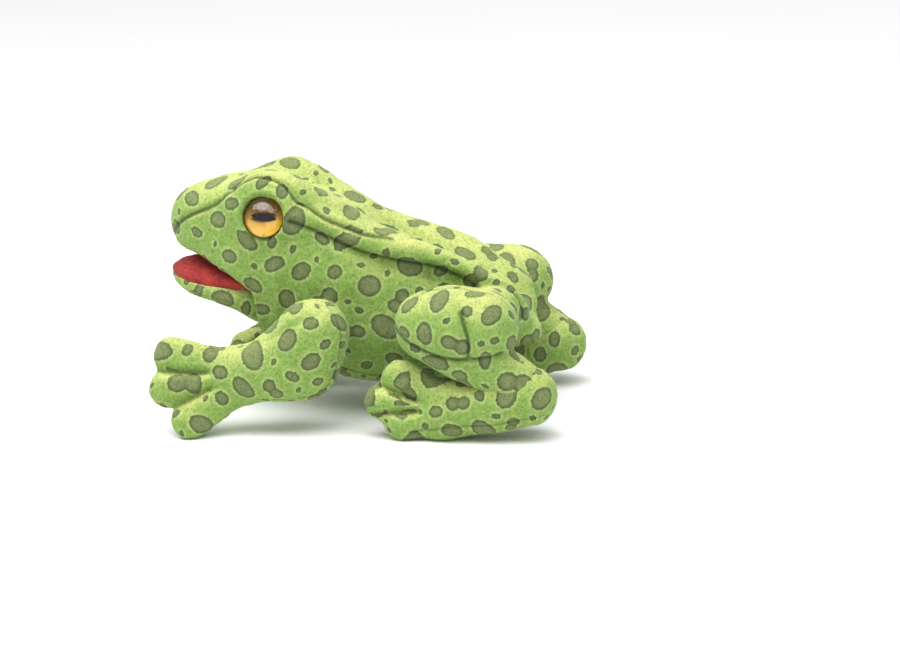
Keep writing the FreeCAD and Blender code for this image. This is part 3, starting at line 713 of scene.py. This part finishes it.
def make_sleeve():
    """The finger sleeve's lining and the hem around its opening."""
    f = Field((-14, 0, 6), (14, 58, 56))
    out, away = along_sleeve(f)
    wrinkle = 0.12 * np.sin(out * 1.3 + 0.6 * np.sin(3 * np.arctan2(f.x, f.z - 30))).astype(np.float32)
    inner = np.where(out < -37, np.sqrt(away ** 2 + (out + 37) ** 2), away)
    f.d = np.maximum(np.abs(inner - (SLEEVE_R + 0.45)) - 0.5 - wrinkle, out + 0.3).astype(np.float32)
    tube = finish_skin("finger_sleeve_lining", f, ["finger_sleeve"], seed=61, lumps=0.05,
                       material=SLEEVE)
    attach(tube, "trunk")
    f = Field((-16, 28, 2), (16, 60, 38))
    out, away = along_sleeve(f)
    f.d = (np.sqrt(((away - SLEEVE_R - 1.6) / 1.0) ** 2 + ((out + 1.2) / 1.5) ** 2) - 1.0).astype(np.float32)
    f.d -= (0.18 * np.exp(-((away - SLEEVE_R - 2.6) / 0.5) ** 2)).astype(np.float32)
    hem = finish_skin("sleeve_hem_band", f, ["sleeve_hem"], seed=71, lumps=0.15)
    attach(hem, "trunk")


SHOULDER, ELBOW, WRIST = V(32, -10.5, 33.5), V(32, -11.5, 22.6), V(34, -37, 19.5)
HAND = {"left": [V(2, -22.5, 6.5), V(4, -23.5, -4.0), V(7.5, -15.5, -14.2)],
        "right": [V(7, -17, -6.5), V(17, -13, -10.5), V(21, -2, -14.2)]}


def make_arm(side):
    """A stuffed arm with its webbed hand, in one skin."""
    turn = (lambda p: np.array(p, float)) if side == "left" else mirror
    wrist = PIVOT[side + "_wrist_flex"]
    tips = [wrist + t for t in HAND[side]]
    every = np.array(tips + [turn(SHOULDER), turn(ELBOW), wrist])
    f = Field(np.maximum(every.min(0) - 14, (-99, -99, -1)), every.max(0) + 14)
    f.chain(turn([SHOULDER + V(0, 0, 0.6), SHOULDER + V(0.4, -2, -5), ELBOW + V(0.6, -4, -0.5), WRIST + V(0, 12, 1),
                  WRIST]), [10.2, 10.8, 10.4, 9.6, 8.4], 1)
    f.chain(turn([SHOULDER + V(0, -4, 0), WRIST + V(0, 8, 3)]), [9.6, 8.0], 5)
    f.add(f.pillow(wrist, tips, 7.6, 6.2, 6.0, 5.6), 4)
    shaded_grooves, seams = [], []
    if side == "left":
        shoulder_fold = [(38, -27.5, 31.0), (40.5, -21, 35.2), (41, -14, 39.0), (39, -7, 42.0)]
        outer_seam = [(34, -6, 44), (37.5, -1.0, 38), (38, 0.5, 30), (37, -2, 21), (38, -8, 13.5), (40.5, -20, 12), (40.5, -30, 12.5)]
        f.stroke(shoulder_fold, [0.2, 0.7, 0.7, 0.1], 1.6)
        seams = [(outer_seam, 0.35, 0.6)]
    arm = finish_skin(side + "_arm_skin", f,
                      [n for n in NODES if frame_body(n) in (side + "_arm", side + "_hand")],
                      shaded_grooves=shaded_grooves, seams=seams, seed=101 if side == "left" else 131)
    forwards = wrist - turn(ELBOW)
    forwards /= np.linalg.norm(forwards)
    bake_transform(arm)


HIP, KNEE, SHIN = V(34.6, 43.5, 37), V(32.8, 26.4, 37.6), V(34, 47, 22.5)
HEEL, INSTEP = V(33.5, 58.7, 14.5), V(34.5, 33, 9)
FOOT = [V(34, 17, 19.6), V(35.5, 10.9, 12.2), V(36.7, 18, 5.3)]


def make_leg(side):
    """A folded hind leg and, under its shin, the long webbed foot."""
    turn = (lambda p: np.array(p, float)) if side == "left" else mirror
    f = Field(np.array((20, 8, 6) if side == "left" else (-52, 8, 6)), np.array((52, 76, 54) if side == "left" else (-20, 76, 54)))
    f.chain(turn([HIP + V(0, 0.5, 0), (HIP + KNEE) / 2 + V(0.4, 0, 0.6), KNEE]), [12.4, 12.2, 10.6], 1)
    f.chain(turn([KNEE + V(1.0, 0.5, -2.0), V(34.5, 35, 30.5), V(34.6, 45.5, 24.8), V(34.0, 55.5, 18.2)]), [9.6, 9.4, 8.8, 8.4], 2)
    tuck = [(46, 39.7, 45.5), (46.6, 40.8, 40.5), (45.6, 42.3, 35.2), (44, 41.5, 29.5)]
    under = [(38, 16.8, 37.0), (41.5, 21.5, 33.0), (43.0, 29.5, 30.0), (43.4, 36.5, 28.6), (43.0, 44, 29.5), (41.5, 52, 30.0)]
    f.stroke(turn(tuck), [0.3, 1.6, 1.9, 1.0], 1.3)
    f.stroke(turn(under), [0.8, 1.6, 1.8, 1.8, 1.4, 0.6], 1.3)
    top_seam = [(34, 16, 40), (35, 20, 46.2), (35.5, 30, 49.0), (36, 42, 49.6), (36, 51, 46.4), (36, 55.6, 38.5)]
    # painted shade: the tuck and the groove under the leg are painted darker as well as pressed in
    leg = finish_skin(side + "_leg_skin", f, [n for n in NODES if frame_body(n) == side + "_leg"],
                      shaded_grooves=[(turn(tuck), 0.9), (turn(under), 0.9)], seams=[(turn(top_seam), 0.35, 0.6)],
                      seed=151 if side == "left" else 181)
    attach(leg, side + "_leg")

    f = Field(np.array((20, 2, -1) if side == "left" else (-52, 2, -1)), np.array((52, 76, 34) if side == "left" else (-20, 76, 34)))
    f.chain(turn([HEEL, (HEEL + INSTEP) / 2 + V(0.2, 0, -0.8), INSTEP]), [9.5, 9.2, 8.6], 1)
    root = turn(INSTEP + V(0, -2, 0.5))
    f.add(f.pillow(root, [turn(t) for t in FOOT], 8.0, 6.0, 6.0, 5.6), 4)
    sole = [(41.5, 14, 2.6), (42, 26.8, 4.1), (42.4, 33, 5.8), (42.2, 42.1, 6.3), (42, 53.3, 7.6), (41, 61, 9.5), (36, 67.5, 12)]
    foot = finish_skin(side + "_foot_skin", f, [n for n in NODES if frame_body(n) == side + "_foot"],
                       seams=[(turn(sole), 0.4, 0.6)], seed=211 if side == "left" else 241)
    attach(foot, side + "_foot")


# ---------------------------------------------------------------- eyes
def make_eyes():
    glass, tree, shader = new_material("eye_glass")
    t = Tree(tree)
    _, place = local(t, (0, 0, 1), (0, 0, 0))
    scratch = t.noise(place, 900.0, 2)
    t.link(t.ramp(scratch, 0.4, 0.9, 0.015, 0.05), shader.inputs["Roughness"])
    set_inputs(shader, Base_Color=(1.0, 0.93, 0.80, 1), Transmission_Weight=1.0, IOR=1.08, Coat_Weight=1.0, Coat_IOR=1.6, Coat_Roughness=0.02)
    black, tree, shader = new_material("eye_black")
    t = Tree(tree)
    _, place = local(t, (0, 0, 1), (0, 0, 0))
    t.link(t.mix(t.noise(place, 700.0, 2), (0.004, 0.004, 0.004), (0.012, 0.010, 0.008)), shader.inputs["Base Color"])
    set_inputs(shader, Roughness=0.6, Specular_IOR_Level=0.0)
    for side, flip in (("left", 1), ("right", -1)):
        centre = tuple(V(EYE[0] * flip, EYE[1], EYE[2]) * MM)
        iris, tree, shader = new_material(side + "_eye_amber")
        t = Tree(tree)
        high, away = local(t, (-EYE_OUT[2] * flip, 0, EYE_OUT[0]), centre)
        length = t.node("VectorMath", operation="LENGTH")
        t.link(away, length.inputs[0])
        cloud = t.noise(away, 420.0, 3, 0.6)
        # painted light: the iris is painted dark brown above, amber below and bright at its lower edge, standing for
        # light that the dome gathers low in the eye
        level = t.math("ADD", high, t.math("MULTIPLY_ADD", cloud, 0.0016, -0.0008))
        colour = t.mix(t.ramp(level, -0.0045, 0.0035), (0.84, 0.50, 0.040), (0.200, 0.095, 0.025))
        colour = t.mix(t.ramp(level, -0.0068, -0.0035, 0.75, 0.0), colour, (1.00, 0.78, 0.22))
        colour = t.mix(t.ramp(length.outputs["Value"], 0.0060, 0.0068), colour, (0.10, 0.045, 0.012))
        # the slit's shadow under the moulded pupil: two arcs that meet at its tips
        turned = math.radians(8.0)
        slit = V(*[math.cos(turned) * a + math.sin(turned) * b for a, b in zip((-EYE_OUT[2] * flip, 0, EYE_OUT[0]), (0, 1, 0))])
        over, _ = local(t, tuple(slit), centre)
        reach = t.math("MULTIPLY", length.outputs["Value"], 1000.0)
        reach = t.math("ADD", t.math("MULTIPLY", reach, reach), t.math("MULTIPLY", t.math("ABSOLUTE", over, 0.0), 11300.0))
        colour = t.mix(t.ramp(reach, 18.0, 19.0, 1.0, 0.0), colour, (0.006, 0.005, 0.004))
        t.link(colour, shader.inputs["Base Color"])
        set_inputs(shader, Roughness=0.6, Metallic=0.0, Specular_IOR_Level=0.0)
        for node, material in (("eye_dome", glass), ("eye_iris", iris), ("eye_pupil", black), ("eye_post", black),
                               ("eye_washer", black)):
            thing = NODES["%s_%s" % (side, node)]
            for i in range(max(1, len(thing.material_slots))):
                if thing.material_slots:
                    thing.material_slots[i].material = material
                else:
                    thing.data.materials.append(material)


# ---------------------------------------------------------------- stage
def make_stage():
    low, high = (np.array(c) / MM for c in CAD_BOX)
    middle = (low + high) / 2
    scene = bpy.context.scene
    floor_mesh = bpy.data.meshes.new("floor")
    s = 6.0
    floor_mesh.from_pydata([(-s, -s, 0), (s, -s, 0), (s, s, 0), (-s, s, 0)], [], [(0, 1, 2, 3)])
    floor = bpy.data.objects.new("floor", floor_mesh)
    scene.collection.objects.link(floor)
    material, tree, shader = new_material("floor_pale")
    t = Tree(tree)
    _, place = local(t, (0, 0, 1), (0, 0, 0))
    t.link(t.mix(t.noise(place, 3.0, 2), (0.93, 0.93, 0.93), (0.97, 0.97, 0.97)), shader.inputs["Base Color"])
    set_inputs(shader, Roughness=0.9, Specular_IOR_Level=0.0)
    floor_mesh.materials.append(material)

    world = bpy.data.worlds.new("studio")
    scene.world = world
    world.use_nodes = True
    world.node_tree.nodes["Background"].inputs["Color"].default_value = (1.0, 1.0, 1.0, 1)
    world.node_tree.nodes["Background"].inputs["Strength"].default_value = 0.5

    def lamp(name, place, size, power, target=(0, 0, 40)):
        if len(size) == 2:
            data = bpy.data.lights.new(name, "AREA")
            data.shape = "RECTANGLE"
            data.size, data.size_y = size
        else:
            data = bpy.data.lights.new(name, "SUN")
            data.angle = size[0]
        data.energy = power
        thing = bpy.data.objects.new(name, data)
        scene.collection.objects.link(thing)
        back = np.array(place, float) - np.array(target, float)
        back /= np.linalg.norm(back)
        right = np.cross((0, 0, 1), back)
        right /= np.linalg.norm(right)
        over = np.cross(back, right)
        thing.matrix_world = Matrix([[*map(float, row), p * MM] for row, p in zip(np.column_stack([right, over, back]), place)] + [[0, 0, 0, 1]])

    lamp("key", (190, -60, 690), (1.6, 0.46), 7.5)
    lamp("sky", (260, -150, 900), (0.9,), 1.5)

    # the camera stands off the puppet's left side, a little behind its middle and above it
    turn, rise, roll, distance = math.radians(102), math.radians(14), math.radians(-2), 700.0
    back = V(math.sin(turn) * math.cos(rise), -math.cos(turn) * math.cos(rise), math.sin(rise))
    right = np.cross((0, 0, 1), back)
    right /= np.linalg.norm(right)
    over = np.cross(back, right)
    tilted = math.cos(roll) * right + math.sin(roll) * over
    over = -math.sin(roll) * right + math.cos(roll) * over
    place = middle + V(-4.4, 25.7, -14.7) + distance * back
    data = bpy.data.cameras.new("camera")
    data.sensor_width = 36.0
    data.lens = 82.35
    data.clip_start = 0.01
    data.clip_end = 50
    camera = bpy.data.objects.new("camera", data)
    scene.collection.objects.link(camera)
    camera.matrix_world = Matrix([[*map(float, row), float(p) * MM] for row, p in zip(np.column_stack([tilted, over, back]), place)] + [[0, 0, 0, 1]])
    scene.camera = camera
    scene.view_settings.view_transform = "Standard"



make_stage()
make_body()
make_mouth()
make_sleeve()
for side in ("left", "right"):
    make_arm(side)
    make_leg(side)
make_eyes()
